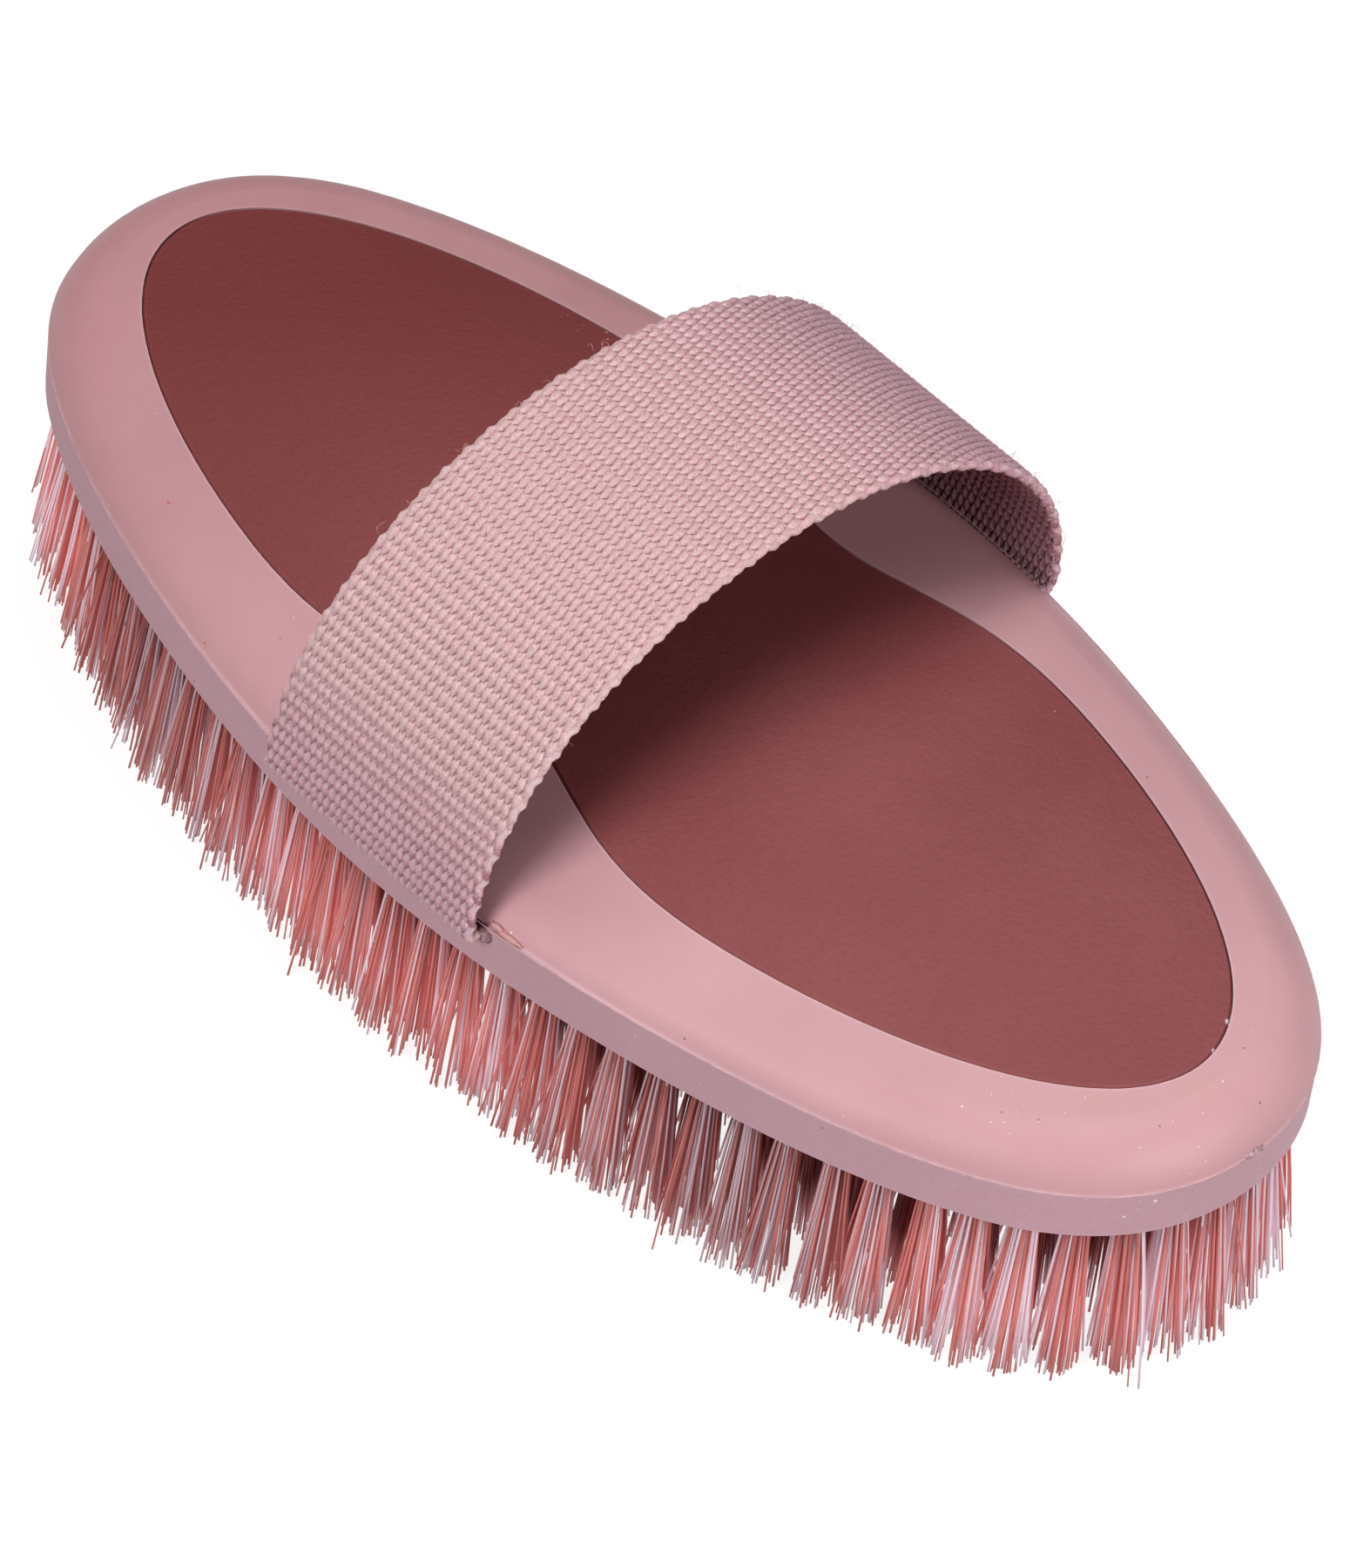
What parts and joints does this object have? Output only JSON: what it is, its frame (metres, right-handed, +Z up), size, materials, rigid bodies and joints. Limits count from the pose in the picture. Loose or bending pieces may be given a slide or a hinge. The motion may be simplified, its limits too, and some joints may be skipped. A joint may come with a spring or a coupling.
{
  "type": "bristle body brush",
  "caption": "Oval bristle grooming brush with a moulded back, an inlaid waisted grip pad and an arched webbing hand strap.",
  "frame": {"origin": "on the floor under the middle of the brush, at the bristle tips", "axes": "+X along the long axis of the oval, +Y across it, +Z up out of the back of the brush"},
  "size_m": [0.2064, 0.1012, 0.0726],
  "materials": {
    "block": "fine matt moulded plastic",
    "cover": "soft-touch satin moulded plastic",
    "pad": "soft rubber with a fine leather grain",
    "webbing": "flat woven webbing",
    "bristle": "mixed dark and pale synthetic filaments",
    "anchor_wire": "flat drawn wire"
  },
  "bodies": {
    "root": {"bristle_block": "block", "top_cover": "cover", "grip_pad": "pad", "hand_strap": "webbing", "tufts_bank_1": "bristle", "tufts_bank_2": "bristle", "tufts_bank_3": "bristle", "tufts_bank_4": "bristle", "tufts_bank_5": "bristle", "tufts_bank_6": "bristle", "tufts_bank_7": "bristle", "tufts_bank_8": "bristle", "anchors_bank_1": "anchor_wire", "anchors_bank_2": "anchor_wire", "anchors_bank_3": "anchor_wire", "anchors_bank_4": "anchor_wire", "anchors_bank_5": "anchor_wire", "anchors_bank_6": "anchor_wire", "anchors_bank_7": "anchor_wire", "anchors_bank_8": "anchor_wire"}
  },
  "joints": []
}
